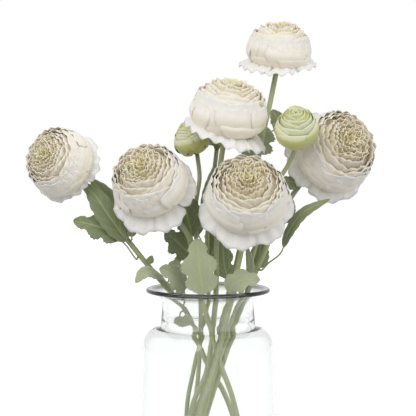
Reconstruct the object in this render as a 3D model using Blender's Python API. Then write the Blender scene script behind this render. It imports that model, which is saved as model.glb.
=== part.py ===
"""Ranunculus flowers in a clear glass vase: six open blooms and three buds with their leaves.

Run with blender --background --python part.py, or from the text editor. Metres, +Z up. The origin is the
centre of the vase's foot, which stands on the plane Z = 0.
"""

import math

import bmesh
import bpy
from mathutils import Vector

MM = 0.001
GAP = 0.3 * MM  # clearance between pieces that touch

# Vase
VASE_HEIGHT = 250 * MM
GLASS_WALL = 3 * MM
FLOOR_THICKNESS = 6 * MM
FOOT_CORNER = 10 * MM
BODY_RADIUS = 67.4 * MM
BODY_TAPER = 4.6 * MM
SHOULDER_START = 192 * MM
SHOULDER_HEIGHT = 21.2 * MM
SHOULDER_WIDTH = 17.8 * MM
NECK_RADIUS = 43 * MM
FLARE_START = 236 * MM
FLARE_WIDTH = 14.5 * MM
FLARE_HEIGHT = 9.7 * MM
LIP_RADIUS = 2.1 * MM
LIP_CENTRE = 56.5 * MM
VASE_SEGMENTS = 40

# Stems
STEM_SIDES = 8
STEM_RINGS = 15
BLOOM_STEM = 2.5 * MM
BUD_STEM = 2.1 * MM
STEM_NECK = 13 * MM  # straight length of stem behind each calyx
ROUTE_STEPS = 200  # steps in which a smooth route's length is measured

# Petal balls, skirts and calyxes
BALL_SEGMENTS = 20
BUD_SEGMENTS = 14
RUFFLES = 5  # waves round a petal ball
RUFFLE_DEPTH = 0.025
RUFFLE_TURN = 1.7  # radians that the waves turn from one level to the next
DIMPLE = 0.97  # height of a ball's middle, as a share of its crown
PETAL_THICKNESS = 1.0 * MM
SEPAL_THICKNESS = 1.0 * MM
HUB_RADIUS = 4.0 * MM
BUD_HUB_RADIUS = 3.3 * MM
HUB_DEPTH = 3.0 * MM
GUARD_LOBES = 5
GUARD_NOTCH = 0.16
GUARD_TURN = 0.3  # radians
SEPAL_LOBES = 5
SEPAL_REACH = 0.5  # in radii of the bloom
SEPAL_NOTCH = 0.5
BUD_SEPAL_REACH = 0.88
BUD_SEPAL_NOTCH = 0.4
RIM_SHARE = 0.6  # a dish's thickness at its rim, as a share of its own
SEPAL_CLEARANCE = 0.03  # how fast the sepals draw away from the guard petals, outward
BUD_SEPAL_RISE = 0.40  # how steeply the sepals cup a bud, a little less than the bud's own underside
BLOOM_PROFILE = (
    (0.25, 0.0), (0.62, 0.10), (0.90, 0.38), (1.0, 0.72), (0.93, 1.05), (0.70, 1.28), (0.35, 1.38),
)
BUD_PROFILE = ((0.30, 0.0), (0.72, 0.22), (0.97, 0.66), (0.97, 1.05), (0.74, 1.48), (0.38, 1.70))

# Leaves
PETIOLE_RADIUS = 0.9 * MM
BLADE_THICKNESS = 1.1 * MM
PETIOLE_LEAD = 3.5 * MM  # a petiole leaves its stem squarely for this length
TOOTH_DEPTH = 0.16
TOOTH_LEAN = 0.03  # how far a tooth points forward, in blade lengths
LEAF_FOLD = 0.3  # rise of a blade from its midrib to its edge, per unit of width
LEAF_STEPS = 61

# Each flower: centre of its petal ball and the way it faces, its radius, how far its guard petals reach,
# their mean rise, and how much and towards which side they droop. Lengths in millimetres.
BLOOMS = {
    "left": dict(centre=(-140, -20, 370), axis=(-0.52, -0.78, 0.35), radius=31,
                reach=1.14, rise=0.08, lean=(0.10, 20)),
    "mid_left": dict(centre=(-55, -45, 354), axis=(-0.25, -0.75, 0.60), radius=34,
                reach=1.25, rise=-0.02, lean=(0.16, 290)),
    "top_centre": dict(centre=(20, -25, 420), axis=(0.15, -0.30, 0.94), radius=34.5,
                reach=1.20, rise=-0.12, lean=(0.20, 335)),
    "top_right": dict(centre=(68, 20, 480), axis=(0.10, -0.25, 0.96), radius=30,
                reach=1.26, rise=0.0, lean=(0.16, 180)),
    "front": dict(centre=(35, -55, 342), axis=(0.0, -0.80, 0.60), radius=36,
                reach=1.24, rise=-0.02, lean=(0.14, 270)),
    "right": dict(centre=(123, 5, 381), axis=(0.42, -0.82, 0.38), radius=38,
                reach=1.20, rise=0.0, lean=(0.16, 240)),
}
BUDS = {
    "bud_left": dict(centre=(-17, 14, 392), axis=(-0.35, -0.35, 0.87), radius=17),
    "bud_right": dict(centre=(80, -40, 402), axis=(-0.10, -0.65, 0.75), radius=20),
    "bud_back": dict(centre=(10, 32, 396), axis=(0.10, 0.10, 0.99), radius=14),
}

# Each stem's route from its cut end on the vase's floor up to its flower, in millimetres. Its height above
# the floor and its last stretch, in line with the flower, are worked out.
STEM_ROUTES = {
    "left": [(46, 6, 0), (24, 6, 127), (2, 6, 171), (-27, 6, 238), (-43, 3, 254), (-55, 0, 269),
             (-75, -5, 295), (-99, -3, 322), (-113, 6, 338)],
    "mid_left": [(44, -17, 0), (27, -17, 132), (13, -17, 175), (-5, -17, 240), (-17, -16, 296),
                 (-33, -15, 320)],
    "top_centre": [(-36, -11, 0), (-17, -11, 130), (-1, -11, 174), (7, -11, 240), (8, -8, 296),
                   (10, -6, 350)],
    "top_right": [(-42, 17, 0), (-12, 17, 124), (3, 17, 169), (19, 17, 236), (30, 18, 284),
                  (44, 20, 351), (53, 20, 398), (58, 21, 420)],
    "front": [(-38, -22, 0), (-9, -22, 133), (5, -22, 176), (21, -22, 241), (27, -23, 271),
              (33, -24, 296)],
    "right": [(-36, 0, 0), (-2, 0, 128), (12, 0, 172), (34, 0, 238), (50, 2, 276), (63, 8, 306),
              (77, 19, 331), (92, 29, 350)],
    "bud_left": [(-27, 11, 0), (-14, 11, 126), (-9, 11, 170), (-7, 11, 237), (-11, 11, 289),
                 (-11, 11, 337)],
    "bud_right": [(-46, -6, 0), (-5, -6, 129), (7, -6, 173), (29, -6, 239), (49, -8, 305),
                  (63, -8, 350)],
    "bud_back": [(-24, 22, 0), (-21, 22, 123), (-14, 22, 168), (0, 22, 236), (-1, 23, 293),
                 (5, 27, 351)],
}

# Half outlines of the leaf blades, one side, as (place of the row on the midrib, along, across), each from
# 0 at the blade's base to 1 at its tip or its widest.
LOBED = (
    (0.00, 0.00, 0.06), (0.05, 0.12, 0.30), (0.10, 0.24, 0.74), (0.15, 0.40, 1.00), (0.20, 0.42, 0.82),
    (0.26, 0.60, 0.94), (0.32, 0.56, 0.66), (0.38, 0.50, 0.36), (0.48, 0.64, 0.56), (0.56, 0.78, 0.62),
    (0.64, 0.78, 0.44), (0.74, 0.92, 0.38), (0.84, 0.92, 0.20), (1.00, 1.00, 0.00),
)
TWO_LOBED = (
    (0.00, 0.00, 0.06), (0.10, 0.16, 0.42), (0.18, 0.34, 0.82), (0.26, 0.52, 1.00), (0.32, 0.54, 0.86),
    (0.40, 0.72, 0.92), (0.48, 0.74, 0.74), (0.56, 0.90, 0.68), (0.64, 0.91, 0.52), (0.72, 1.00, 0.36),
    (0.80, 0.95, 0.16), (0.86, 0.86, 0.00),
)
LONG_ROWS = 11

# Each leaf: the stem that carries it, the height at which it leaves it, its outline, its widest half width,
# where its blade starts along its midrib, the way its upper side faces, and its midrib's route, in
# millimetres.
LEAVES = {
    "left_long": ("left", 295, "long", 12, 0.08, (0.2, -0.9, 0.4),
        [(-82, -15, 304), (-92, -19, 319), (-102, -18, 334), (-113, -9, 348)]),
    "left_dark": ("left", 300, "long", 11, 0.10, (0.3, -0.8, 0.5),
        [(-83, 5, 314), (-90, 11, 327), (-100, 14, 340), (-112, 18, 352)]),
    "left_lobed": ("left", 281, "lobed", 13, 0.38, (0.1, -0.9, 0.35),
        [(-77, -8, 291), (-89, -13, 302), (-104, -16, 309), (-124, -18, 314)]),
    "left_small": ("left", 294, "long", 5, 0.30, (0.3, -0.9, 0.2),
        [(-71, -12, 299), (-70, -14, 306), (-69, -15, 315)]),
    "left_tiny": ("left", 272, "long", 3.5, 0.35, (0.1, -0.9, 0.3),
        [(-55, -8, 274), (-52, -10, 281)]),
    "centre_dark": ("bud_left", 287, "lobed", 14, 0.25, (0.1, -0.9, 0.3),
        [(-15, 3, 297), (-18, -2, 312), (-22, -5, 329), (-28, -6, 346)]),
    "centre_low": ("bud_left", 277, "lobed", 14, 0.22, (0.2, -0.9, 0.3),
        [(-16, 4, 281), (-23, 0, 287), (-31, -2, 295), (-40, -3, 302)]),
    "centre_tall": ("bud_left", 306, "long", 6, 0.15, (-0.3, -0.9, 0.1),
        [(-5, 4, 314), (-2, 1, 328), (1, -1, 344), (7, -2, 366)]),
    "middle_back": ("bud_back", 272, "lobed", 15, 0.20, (0.0, -0.9, 0.3),
        [(4, 33, 279), (9, 37, 290), (14, 37, 308)]),
    "middle_dark": ("top_right", 250, "lobed", 10, 0.20, (0.1, -0.9, 0.2),
        [(18, 8, 260), (15, 3, 274), (14, 1, 298)]),
    "lip_left": ("left", 246, "long", 9, 0.30, (0.1, -0.6, 0.8),
        [(-40, -6, 257), (-49, -18, 266), (-58, -25, 267), (-66, -30, 258)]),
    "sage_front": ("mid_left", 222, "two_lobed", 18, 0.38, (0.0, -0.97, 0.2),
        [(-4, -27, 238), (-5, -33, 254), (-8, -37, 274), (-10, -38, 298)]),
    "sage_left": ("left", 234, "lobed", 14, 0.30, (0.3, -0.8, 0.5),
        [(-22, -7, 246), (-26, -18, 257), (-33, -26, 265), (-44, -31, 271)]),
    "sage_small": ("left", 252, "lobed", 7, 0.25, (0.1, -0.9, 0.3),
        [(-37, 9, 260), (-32, 11, 268), (-27, 12, 279)]),
    "lip_right": ("front", 239, "two_lobed", 14, 0.30, (0.0, -0.8, 0.6),
        [(17, -31, 248), (22, -39, 257), (32, -44, 262), (46, -46, 262)]),
    "silver": ("bud_right", 251, "long", 5, 0.20, (-0.5, -0.8, 0.2),
        [(38, -15, 262), (39, -20, 274), (36, -21, 291)]),
    "right_low": ("right", 266, "long", 9, 0.15, (0.0, -0.9, 0.3),
        [(49, 11, 275), (50, 15, 286), (54, 17, 299)]),
    "back_pale": ("top_right", 406, "lobed", 19, 0.12, (0.0, -0.9, 0.4),
        [(52, 29, 401), (47, 33, 389), (38, 34, 370)]),
    "back_dark": ("top_right", 398, "long", 9, 0.20, (0.0, -0.9, 0.3),
        [(65, 24, 400), (69, 33, 406), (62, 41, 418)]),
    "right_small": ("right", 345, "lobed", 8, 0.20, (0.1, -0.9, 0.3),
        [(83, 15, 348), (77, 10, 350), (70, 8, 352)]),
    "right_dark": ("right", 308, "long", 7, 0.20, (0.1, -0.9, 0.2),
        [(70, 3, 313), (75, -1, 320), (79, -3, 333)]),
    "right_long": ("right", 268, "long", 6, 0.36, (-0.5, -0.8, 0.3),
        [(57, -6, 274), (68, -11, 284), (75, -14, 303), (88, -15, 321), (113, -16, 334)]),
    "in_neck": ("left", 228, "long", 8, 0.45, (0.0, -0.95, 0.3),
        [(-26, -4, 226), (-25, -13, 221), (-14, -20, 219)]),
    "back_left": ("bud_back", 290, "lobed", 15, 0.25, (0.0, 0.9, 0.4),
        [(-10, 32, 299), (-18, 38, 313), (-28, 40, 330)]),
    "back_right": ("top_right", 284, "lobed", 15, 0.25, (0.1, 0.9, 0.4),
        [(38, 30, 293), (48, 37, 305), (60, 40, 320)]),
}

FINISHES = {
    "glass": ("#E6EBE9", 0.03),
    "petal": ("#EFE7D6", 0.60),
    "guard_petal": ("#EDECEA", 0.60),
    "bud_petal": ("#DDE0BE", 0.55),
    "sepal": ("#7C7F2A", 0.60),
    "stem": ("#8E9A63", 0.60),
    "leaf": ("#66744A", 0.70),
    "sage_leaf": ("#9DA580", 0.80),
}


def clear_scene():
    for obj in list(bpy.data.objects):
        bpy.data.objects.remove(obj)


def linear(channel):
    return channel / 12.92 if channel <= 0.04045 else ((channel + 0.055) / 1.055) ** 2.4


def new_material(node_name, finish):
    """A material of the node's own in one of the named finishes."""
    code, roughness = FINISHES[finish]
    colour = [linear(int(code[i:i + 2], 16) / 255) for i in (1, 3, 5)]
    material = bpy.data.materials.new(node_name)
    material.use_nodes = True
    shader = material.node_tree.nodes["Principled BSDF"]
    shader.inputs["Base Color"].default_value = (*colour, 1)
    shader.inputs["Roughness"].default_value = roughness
    shader.inputs["Metallic"].default_value = 0
    shader.inputs["Transmission Weight"].default_value = 1 if finish == "glass" else 0
    return material


def closed_body(name, finish, first_pole, rings, last_pole):
    """One closed solid from rings of points, closed at each end by a fan to a pole, with its faces out."""
    bm = bmesh.new()
    loops = [[bm.verts.new(point) for point in ring] for ring in rings]
    first, last = bm.verts.new(first_pole), bm.verts.new(last_pole)
    count = len(loops[0])
    for i in range(count):
        j = (i + 1) % count
        bm.faces.new((first, loops[0][j], loops[0][i]))
        for low, high in zip(loops, loops[1:]):
            bm.faces.new((low[i], low[j], high[j], high[i]))
        bm.faces.new((last, loops[-1][i], loops[-1][j]))
    if bm.calc_volume(signed=True) < 0:
        bmesh.ops.reverse_faces(bm, faces=bm.faces)
    bmesh.ops.triangulate(bm, faces=bm.faces)
    mesh = bpy.data.meshes.new(name)
    bm.to_mesh(mesh)
    bm.free()
    mesh.shade_smooth()
    obj = bpy.data.objects.new(name, mesh)
    obj.data.materials.append(new_material(name, finish))
    bpy.context.scene.collection.objects.link(obj)
    return obj


# ---------------------------------------------------------------- routes


def smooth_point(points, place):
    """The point at place, from 0 to 1, on a smooth curve through the points, each as long a step apart."""
    spans = len(points) - 1
    span = min(int(place * spans), spans - 1)
    t = place * spans - span
    b, c = points[span], points[span + 1]
    a = points[span - 1] if span > 0 else b * 2 - c
    d = points[span + 2] if span + 2 <= spans else c * 2 - b
    curve = (c - a) * t + (a * 2 - b * 5 + c * 4 - d) * t ** 2 + (b * 3 - a - c * 3 + d) * t ** 3
    return b + curve / 2


def even_route(points, count):
    """count points spread evenly by length along the smooth curve through the points."""
    fine = [smooth_point(points, i / ROUTE_STEPS) for i in range(ROUTE_STEPS + 1)]
    lengths = [0.0]
    for a, b in zip(fine, fine[1:]):
        lengths.append(lengths[-1] + (b - a).length)
    route, at = [], 0
    for i in range(count):
        wanted = lengths[-1] * i / (count - 1)
        while at < ROUTE_STEPS - 1 and lengths[at + 1] < wanted:
            at += 1
        share = (wanted - lengths[at]) / (lengths[at + 1] - lengths[at])
        route.append(fine[at].lerp(fine[at + 1], min(max(share, 0), 1)))
    return route


def direction(route, i):
    """The way the route runs at its point i."""
    return (route[min(i + 1, len(route) - 1)] - route[max(i - 1, 0)]).normalized()


def millimetres(points):
    return [Vector(point) * MM for point in points]


# ---------------------------------------------------------------- vase


def ellipse(centre, radii, start, end, steps):
    """Points round part of an ellipse, with its angles in degrees."""
    angles = [math.radians(start + (end - start) * i / steps) for i in range(steps + 1)]
    return [(centre[0] + radii[0] * math.cos(a), centre[1] + radii[1] * math.sin(a)) for a in angles]


def body_side(height):
    """The outer radius of the vase's body, which narrows a little towards its shoulder."""
    share = (height - FOOT_CORNER) / (SHOULDER_START - FOOT_CORNER)
    return BODY_RADIUS - BODY_TAPER * share ** 2


def vase_profile():
    """The wall's section: up the inside from the middle of the floor, over the lip and down the outside."""
    wall = GLASS_WALL
    flare_centre = (NECK_RADIUS + FLARE_WIDTH, FLARE_START)
    shoulder_centre = (body_side(SHOULDER_START) - SHOULDER_WIDTH, SHOULDER_START)
    corner_height = FLOOR_THICKNESS + FOOT_CORNER
    corner_centre = (body_side(corner_height) - wall - FOOT_CORNER, corner_height)
    side_heights = [SHOULDER_START * share for share in (0.25, 0.5, 0.75)]
    inside = [(0.0, FLOOR_THICKNESS)]
    inside += ellipse(corner_centre, (FOOT_CORNER, FOOT_CORNER), -90, 0, 3)
    inside += [(body_side(height) - wall, height) for height in side_heights]
    inside += ellipse(shoulder_centre, (SHOULDER_WIDTH - wall, SHOULDER_HEIGHT - wall), 0, 82, 4)
    inside += [(NECK_RADIUS - wall, shoulder_centre[1] + SHOULDER_HEIGHT - wall / 2)]
    inside += ellipse(flare_centre, (FLARE_WIDTH + wall, FLARE_HEIGHT + wall), 180, 104, 4)
    lip = ellipse((LIP_CENTRE, VASE_HEIGHT - LIP_RADIUS), (LIP_RADIUS, LIP_RADIUS), 90, -90, 4)
    outside = ellipse(flare_centre, (FLARE_WIDTH, FLARE_HEIGHT), 112, 180, 3)
    outside += ellipse(shoulder_centre, (SHOULDER_WIDTH, SHOULDER_HEIGHT), 90, 0, 5)
    outside += [(body_side(height), height) for height in reversed(side_heights)]
    foot_centre = (BODY_RADIUS - FOOT_CORNER, FOOT_CORNER)
    outside += ellipse(foot_centre, (FOOT_CORNER, FOOT_CORNER), 0, -90, 3)
    return inside + lip + outside + [(0.0, 0.0)]


def make_vase():
    """The vase, turned from its section by a Screw modifier."""
    profile = vase_profile()
    mesh = bpy.data.meshes.new("vase")
    edges = [(i, i + 1) for i in range(len(profile) - 1)]
    mesh.from_pydata([(radius, 0, height) for radius, height in profile], edges, [])
    vase = bpy.data.objects.new("vase", mesh)
    bpy.context.scene.collection.objects.link(vase)
    screw = vase.modifiers.new("turn", "SCREW")
    screw.steps = VASE_SEGMENTS
    screw.render_steps = VASE_SEGMENTS
    screw.use_merge_vertices = True
    screw.merge_threshold = 0.0001
    screw.use_smooth_shade = True
    mesh.materials.append(new_material("vase", "glass"))


# ---------------------------------------------------------------- flowers


class Place:
    """A flower's own frame: its origin is the middle of its ball's underside, its axis the way it faces."""

    def __init__(self, flower, profile):
        self.axis = Vector(flower["axis"]).normalized()
        self.across = Vector((0, 0, 1)).cross(self.axis).normalized()
        self.up = self.axis.cross(self.across)
        self.radius = flower["radius"] * MM
        self.seat = profile[0][0] * self.radius  # radius of the flat middle of the underside
        middle = profile[-1][1] / 2
        self.origin = Vector(flower["centre"]) * MM - self.axis * (middle * self.radius)

    def point(self, radius, angle, height):
        flat = self.across * math.cos(angle) + self.up * math.sin(angle)
        return self.origin + flat * radius + self.axis * height


def make_ball(name, place, profile, segments, finish):
    """The packed petals: a ball that is a little ruffled round, closed by a dimple on top."""
    rings = []
    for level, (share, height) in enumerate(profile):
        ring = []
        for i in range(segments):
            angle = 2 * math.pi * i / segments
            ruffle = 1 + RUFFLE_DEPTH * math.cos(RUFFLES * angle + RUFFLE_TURN * level) * min(level, 1)
            ring.append(place.point(place.radius * share * ruffle, angle, place.radius * height))
        rings.append(ring)
    top = profile[-1][1] * DIMPLE
    closed_body(name, finish, place.point(0, 0, 0), rings, place.point(0, 0, place.radius * top))


def guard_height(flower, place, radius, angle):
    """Height of the guard petals' upper side: flat under the ball, then rising or drooping outward."""
    amount, towards = flower["lean"]
    slope = flower["rise"] - amount * math.cos(angle - math.radians(towards))
    return -GAP + slope * max(radius - place.seat, 0)


def make_dish(name, finish, place, reaches, height, thickness, hub):
    """A thin lobed dish, flat in the middle. reaches gives the rim's radius at each step round, and
    height(radius, angle) its upper side. hub is (radius, bottom) of a boss under its middle, or None."""
    count = len(reaches)
    angles = [2 * math.pi * i / count for i in range(count)]
    inner = place.seat
    shares = (0.0, 0.5, 1.0)

    def ring(share, below):
        radii = [inner + (reach - inner) * share for reach in reaches]
        return [place.point(r, a, height(r, a) - below) for r, a in zip(radii, angles)]

    rings = [ring(share, 0) for share in shares]
    rings += [ring(share, thickness * (RIM_SHARE if share == 1 else 1)) for share in reversed(shares)]
    bottom = height(0, 0) - thickness
    if hub:
        bottom = hub[1]
        rings.append([place.point(hub[0], a, bottom) for a in angles])
    closed_body(name, finish, place.point(0, 0, height(0, 0)), rings, place.point(0, 0, bottom))


def lobed_reach(reach, lobes, depth, steps, phase):
    """Rim radii of a dish with rounded lobes."""
    waves = [abs(math.cos(lobes / 2 * (2 * math.pi * i / steps + phase))) for i in range(steps)]
    return [reach * (1 - depth + depth * wave ** 0.6) for wave in waves]


def make_bloom(name, flower):
    """An open bloom: petal ball, guard petals and calyx. Returns its stem's end and the way it faces."""
    place = Place(flower, BLOOM_PROFILE)
    make_ball("petals_" + name, place, BLOOM_PROFILE, BALL_SEGMENTS, "petal")
    reach = flower["reach"] * place.radius
    reaches = lobed_reach(reach, GUARD_LOBES, GUARD_NOTCH, 4 * GUARD_LOBES, GUARD_TURN)

    def guard(radius, angle):
        return guard_height(flower, place, radius, angle)

    make_dish("guard_petals_" + name, "guard_petal", place, reaches, guard, PETAL_THICKNESS, None)

    def calyx(radius, angle):
        return guard(radius, angle) - PETAL_THICKNESS - GAP - SEPAL_CLEARANCE * (radius - place.seat)

    hub_bottom = -2 * GAP - PETAL_THICKNESS - SEPAL_THICKNESS - HUB_DEPTH
    sepals = lobed_reach(SEPAL_REACH * place.radius, SEPAL_LOBES, SEPAL_NOTCH, 2 * SEPAL_LOBES, 0.0)
    hub = (HUB_RADIUS, hub_bottom)
    make_dish("sepals_" + name, "sepal", place, sepals, calyx, SEPAL_THICKNESS, hub)
    return place.point(0, 0, hub_bottom - GAP), place.axis


def make_bud(name, flower):
    """A bud: petal ball held in a cupped calyx. Returns its stem's end and the way it faces."""
    place = Place(flower, BUD_PROFILE)
    make_ball("petals_" + name, place, BUD_PROFILE, BUD_SEGMENTS, "bud_petal")

    def calyx(radius, angle):
        return BUD_SEPAL_RISE * max(radius - place.seat, 0) - GAP

    hub_bottom = -GAP - SEPAL_THICKNESS - HUB_DEPTH
    reach = BUD_SEPAL_REACH * place.radius
    sepals = lobed_reach(reach, SEPAL_LOBES, BUD_SEPAL_NOTCH, 2 * SEPAL_LOBES, 0.0)
    hub = (BUD_HUB_RADIUS, hub_bottom)
    make_dish("sepals_" + name, "sepal", place, sepals, calyx, SEPAL_THICKNESS, hub)
    return place.point(0, 0, hub_bottom - GAP), place.axis


# ---------------------------------------------------------------- stems


def stem_points(name, end, axis):
    """The stem's whole route: up from the vase's floor, and straight for its last stretch to the calyx."""
    points = millimetres(STEM_ROUTES[name])
    points[0].z = FLOOR_THICKNESS + GAP
    return points + [end - axis * STEM_NECK, end]


def make_stem(name, points, radius, axis):
    """A round stem, cut level at its foot and square to the flower at its top."""
    route = even_route(points, STEM_RINGS)
    rings = []
    for i, centre in enumerate(route):
        way = direction(route, i)
        if i == 0:
            way = Vector((0, 0, 1))
        if i == len(route) - 1:
            way = axis
        side = way.cross(Vector((0, 1, 0))).normalized()
        other = way.cross(side)
        angles = [2 * math.pi * (k + 0.5) / STEM_SIDES for k in range(STEM_SIDES)]
        rings.append([centre + (side * math.cos(a) + other * math.sin(a)) * radius for a in angles])
    closed_body("stem_" + name, "stem", route[0], rings, route[-1])


# ---------------------------------------------------------------- leaves


def long_outline():
    """Half outline of a long blade with forward teeth, in the form of LOBED."""
    rows = [(0.0, 0.0, 0.12)]
    for i in range(1, LONG_ROWS):
        share = i / LONG_ROWS
        width = math.sin(math.pi * share ** 0.8) ** 0.7
        tooth = 1 if i % 2 else 1 - TOOTH_DEPTH
        forward = TOOTH_LEAN if i % 2 else 0.0
        rows.append((share, share + forward, width * tooth))
    return rows + [(1.0, 1.0, 0.0)]


OUTLINES = {"long": long_outline(), "lobed": LOBED, "two_lobed": TWO_LOBED}


def nearest_on(route, height):
    """The route's point at a height, and the way it runs there."""
    for i, (a, b) in enumerate(zip(route, route[1:])):
        if a.z <= height <= b.z:
            return a.lerp(b, (height - a.z) / (b.z - a.z)), (b - a).normalized()
    raise ValueError("no point at that height")


def leaf_route(stem_route, stem_radius, height, points):
    """The leaf's midrib from its seat on the stem, which it leaves squarely, through its own points."""
    centre, way = nearest_on(stem_route, height)
    out = points[0] - centre
    out = (out - way * out.dot(way)).normalized()
    seat = centre + out * (stem_radius + GAP)
    return [seat, seat + out * PETIOLE_LEAD] + points


def make_leaf(name, route, outline, half_width, blade_from, face):
    """A leaf: a round petiole that widens into a thin blade, folded a little along its midrib."""
    face = Vector(face).normalized()
    fine = even_route(route, LEAF_STEPS)

    def point(along, across, lift):
        place = min(max(along, 0), 1) * (len(fine) - 1)
        i = min(int(place), len(fine) - 2)
        way = direction(fine, i).lerp(direction(fine, i + 1), place - i).normalized()
        centre = fine[i].lerp(fine[i + 1], place - i)
        side = way.cross(face).normalized()
        normal = side.cross(way)
        return centre + side * across + normal * (abs(across) * LEAF_FOLD + lift)

    def row(middle, along, across, depth):
        edges = [point(along, side * across, 0) for side in (-1, 1)]
        return [edges[0], point(middle, 0, depth), edges[1], point(middle, 0, -depth)]

    petiole = (0, blade_from * 0.5, blade_from * 0.9)
    rings = [row(share, share, PETIOLE_RADIUS, PETIOLE_RADIUS) for share in petiole]
    for middle, along, across in outline[:-1]:
        middle, along = (blade_from + (1 - blade_from) * share for share in (middle, along))
        rings.append(row(middle, along, max(across * half_width, PETIOLE_RADIUS), BLADE_THICKNESS / 2))
    tip = blade_from + (1 - blade_from) * outline[-1][1]
    closed_body("leaf_" + name, finish_of(name), point(0, 0, 0), rings, point(tip, 0, 0))


def finish_of(name):
    pale = name.startswith(("sage", "lip", "silver", "in_neck", "back_pale"))
    return "sage_leaf" if pale else "leaf"


def make_flowers():
    """All flowers with their stems. Returns each stem's route and radius."""
    stems = {}
    for flowers, make, radius in ((BLOOMS, make_bloom, BLOOM_STEM), (BUDS, make_bud, BUD_STEM)):
        for name, flower in flowers.items():
            end, axis = make(name, flower)
            points = stem_points(name, end, axis)
            make_stem(name, points, radius, axis)
            stems[name] = (even_route(points, STEM_RINGS), radius)
    return stems


def make_leaves(stems):
    for name, (stem, height, outline, half_width, blade_from, face, points) in LEAVES.items():
        stem_route, radius = stems[stem]
        route = leaf_route(stem_route, radius, height * MM, millimetres(points))
        make_leaf(name, route, OUTLINES[outline], half_width * MM, blade_from, face)


def main():
    clear_scene()
    make_vase()
    make_leaves(make_flowers())


main()
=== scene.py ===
"""Ranunculus flowers in a clear glass vase: the visible petals, leaves, stems and glass, with a studio.

Laid out as an add-on and run as a script. Metres, +Z up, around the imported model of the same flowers.
"""

import math
import random

import bmesh
import bpy
import numpy as np
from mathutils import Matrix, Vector


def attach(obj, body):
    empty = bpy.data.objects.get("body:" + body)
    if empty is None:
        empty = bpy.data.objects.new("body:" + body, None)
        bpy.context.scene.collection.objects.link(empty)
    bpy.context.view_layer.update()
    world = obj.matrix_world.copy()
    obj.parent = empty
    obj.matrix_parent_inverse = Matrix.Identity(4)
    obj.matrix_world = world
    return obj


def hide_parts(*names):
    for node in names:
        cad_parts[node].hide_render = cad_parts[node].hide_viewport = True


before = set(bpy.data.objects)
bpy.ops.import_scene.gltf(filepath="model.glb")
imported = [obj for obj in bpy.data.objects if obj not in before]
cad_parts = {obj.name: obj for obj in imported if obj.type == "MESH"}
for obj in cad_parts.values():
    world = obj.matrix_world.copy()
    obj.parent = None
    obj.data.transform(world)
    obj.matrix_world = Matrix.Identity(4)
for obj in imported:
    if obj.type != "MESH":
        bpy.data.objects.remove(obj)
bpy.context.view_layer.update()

bl_info = {
    "name": "Ranunculus Flowers in a Vase",
    "version": (1, 0, 0),
    "blender": (4, 5, 0),
    "location": "View3D > Sidebar > Flowers",
    "description": "Makes ranunculus blooms, buds, leaves and their glass vase",
    "category": "Object",
}

MM = 0.001
GAP = 0.3 * MM  # clearance between pieces that touch

# Vase
VASE_HEIGHT = 250 * MM
GLASS_WALL = 3 * MM
FLOOR_THICKNESS = 6 * MM
FOOT_CORNER = 10 * MM
BODY_RADIUS = 67.4 * MM
BODY_TAPER = 4.6 * MM
SHOULDER_START = 192 * MM
SHOULDER_HEIGHT = 21.2 * MM
SHOULDER_WIDTH = 17.8 * MM
NECK_RADIUS = 43 * MM
FLARE_START = 236 * MM
FLARE_WIDTH = 14.5 * MM
FLARE_HEIGHT = 9.7 * MM
LIP_RADIUS = 2.1 * MM
LIP_CENTRE = 56.5 * MM

# Stems
STEM_RINGS = 15
BLOOM_STEM = 2.5 * MM
BUD_STEM = 2.1 * MM
STEM_NECK = 13 * MM  # straight length of stem behind each calyx
ROUTE_STEPS = 200  # steps in which a smooth route's length is measured

# Petal balls, skirts and calyxes
PETAL_THICKNESS = 1.0 * MM
SEPAL_THICKNESS = 1.0 * MM
HUB_RADIUS = 4.0 * MM
BUD_HUB_RADIUS = 3.3 * MM
HUB_DEPTH = 3.0 * MM
SEPAL_REACH = 0.5  # in radii of the bloom
BUD_SEPAL_REACH = 0.88
BUD_SEPAL_RISE = 0.40  # how steeply the sepals cup a bud, a little less than the bud's own underside
BLOOM_PROFILE = (
    (0.25, 0.0), (0.62, 0.10), (0.90, 0.38), (1.0, 0.72), (0.93, 1.05), (0.70, 1.28), (0.35, 1.38),
)
BUD_PROFILE = ((0.30, 0.0), (0.72, 0.22), (0.97, 0.66), (0.97, 1.05), (0.74, 1.48), (0.38, 1.70))

# Whorls of a bloom, from the outside in, as shares of its radius
GUARD_PETALS = 7
GUARD_HALF_ANGLE = 0.58  # radians
SEPALS = 5
LOW_WHORLS = ((0.97, 0.55), (0.98, 0.74), (0.97, 0.90), (0.94, 1.03))  # rim's radius and height
LOW_PETALS = 6
WRAP_WHORLS = ((0.87, 6), (0.75, 6), (0.63, 6))  # rim's radius and number of petals
HEART_WHORLS = ((0.51, 6, 0.045), (0.39, 5, 0.05), (0.28, 5, 0.05))  # the same, and depth of the crimp
YOUNG_WHORLS = ((0.18, 4, 0.045), (0.09, 3, 0.03))
BLOOM_FEET = 0.26  # how far the petals' packed feet lie below their rims
BUD_WHORLS = ((0.96, 5), (0.84, 5), (0.70, 5), (0.56, 4), (0.42, 4), (0.28, 3), (0.14, 3))
BUD_FEET = 0.16
SEPAL_SHEET = 0.4 * MM

# Streaks. Real veins lie about 0.5 mm apart, which is too fine to show, so these are about 1.5 to 3 mm apart.
WRAP_STREAKS = 22  # for each radian round the flower
GUARD_STREAKS = 9  # for each half petal
LEAF_STREAKS = 6  # for each half blade

# Leaves
LEAF_POINTS = 61  # points along a midrib with its petiole
LEAF_ROWS = 48
LEAF_COLUMNS = 25
PETIOLE_SIDES = 10
STEM_POINTS = 90
PETIOLE_RADIUS = 0.9 * MM
PETIOLE_LEAD = 3.5 * MM  # a petiole leaves its stem squarely for this length

# Finer make of the vase
VASE_SIDES = 160
VASE_STEP = 6 * MM  # longest step along the section
# The lip's green cast and its painted shade begin at this height and come in over this span.
LIP_TINT_AND_SHADE_FROM = 243 * MM
LIP_TINT_AND_SHADE_SPAN = 5 * MM

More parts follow.
